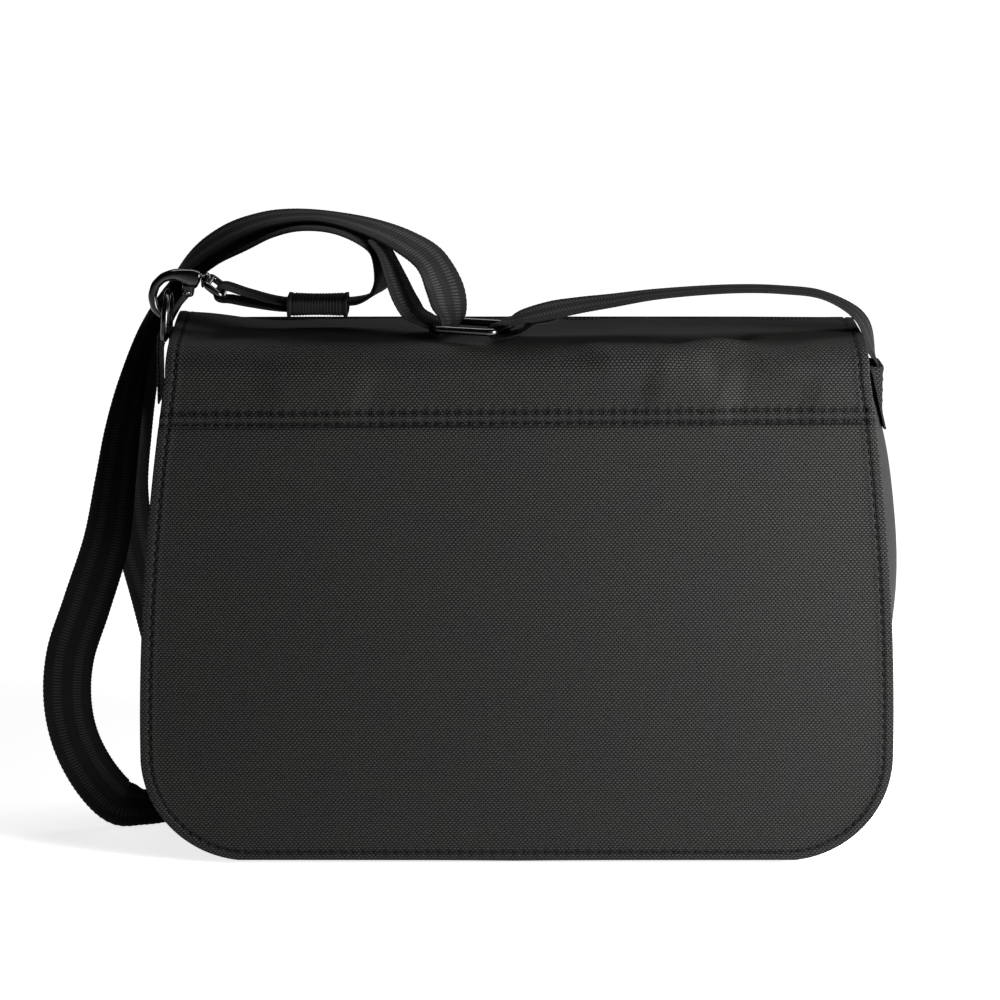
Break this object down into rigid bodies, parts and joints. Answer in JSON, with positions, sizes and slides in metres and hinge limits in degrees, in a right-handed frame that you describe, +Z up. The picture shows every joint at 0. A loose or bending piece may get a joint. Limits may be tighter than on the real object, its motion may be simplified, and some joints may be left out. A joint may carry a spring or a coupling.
{
  "type": "messenger bag",
  "caption": "Canvas messenger bag with a full front flap, side gusset, lined interior with pockets, and an adjustable webbing shoulder strap on a swivel snap hook.",
  "frame": {"origin": "on the ground at the centre of the bag's footprint, the strap and what is on it left out", "axes": "+X to the right seen from the front, -Y out of the flap's face, +Z up"},
  "size_m": [0.4387, 0.1148, 0.3232],
  "materials": {
    "canvas": "charcoal canvas, fine weave, faint sheen",
    "gusset_cloth": "dark twill",
    "lining": "plain woven lining",
    "webbing": "ribbed webbing",
    "tape": "woven binding tape",
    "board": "stiffener board",
    "gunmetal": "glossy black plate",
    "nickel": "dark nickel plate",
    "magnet": "bare ferrite"
  },
  "bodies": {
    "bag": {"front_panel": "canvas", "back_panel": "canvas", "gusset": "gusset_cloth", "seam_binding_front": "tape", "seam_binding_back": "tape", "base_board": "board", "front_pocket": "canvas", "lining": "lining", "mouth_binding": "tape", "slip_pocket": "lining", "pen_pocket": "lining", "zip_pocket": "lining", "zip_tape": "tape", "flap_top": "canvas", "snap_socket_left": "nickel", "snap_magnet_left": "magnet", "snap_socket_right": "nickel", "snap_magnet_right": "magnet", "strap_tab_right": "canvas", "strap_tab_left": "canvas", "hook_eye": "gunmetal", "strap_sleeve": "webbing", "adjuster_ring": "gunmetal", "strap_short": "webbing", "strap_long": "webbing"},
    "flap": {"flap_yoke": "canvas", "flap_face": "canvas", "flap_lining": "lining", "snap_stud_left": "nickel", "snap_stud_right": "nickel"},
    "ring": {"d_ring": "gunmetal"},
    "hook": {"hook_body": "gunmetal", "hook_gate_pin": "nickel"},
    "gate": {"hook_gate": "gunmetal"},
    "slider": {"zip_slider": "nickel"},
    "puller": {"zip_puller": "nickel"}
  },
  "joints": [
    {"name": "flap_fold", "type": "hinge", "parent": "bag", "child": "flap", "pos_m": [0, -0.042, 0.261], "axis": [-1, 0, 0], "range_deg": [0, 110]},
    {"name": "d_ring_swing", "type": "hinge", "parent": "bag", "child": "ring", "pos_m": [-0.176, 0.002, 0.2625], "axis": [0, 1, 0], "range_deg": [-5, 1]},
    {"name": "hook_swivel", "type": "hinge", "parent": "bag", "child": "hook", "pos_m": [-0.1554, 0.002, 0.29], "axis": [1, 0, 0], "range_deg": [-20, 20]},
    {"name": "gate_open", "type": "hinge", "parent": "hook", "child": "gate", "pos_m": [-0.1645, 0.002, 0.2845], "axis": [0, 1, 0], "range_deg": [0, 18], "stiffness_Nm_per_rad": 0.01, "springref_deg": -22.92},
    {"name": "zip_slide", "type": "slide", "parent": "bag", "child": "slider", "axis": [1, 0, 0], "range_m": [0, 0.18]},
    {"name": "puller_swing", "type": "hinge", "parent": "slider", "child": "puller", "pos_m": [-0.092, 0.0328, 0.2], "axis": [-1, 0, 0], "range_deg": [0, 150]}
  ]
}
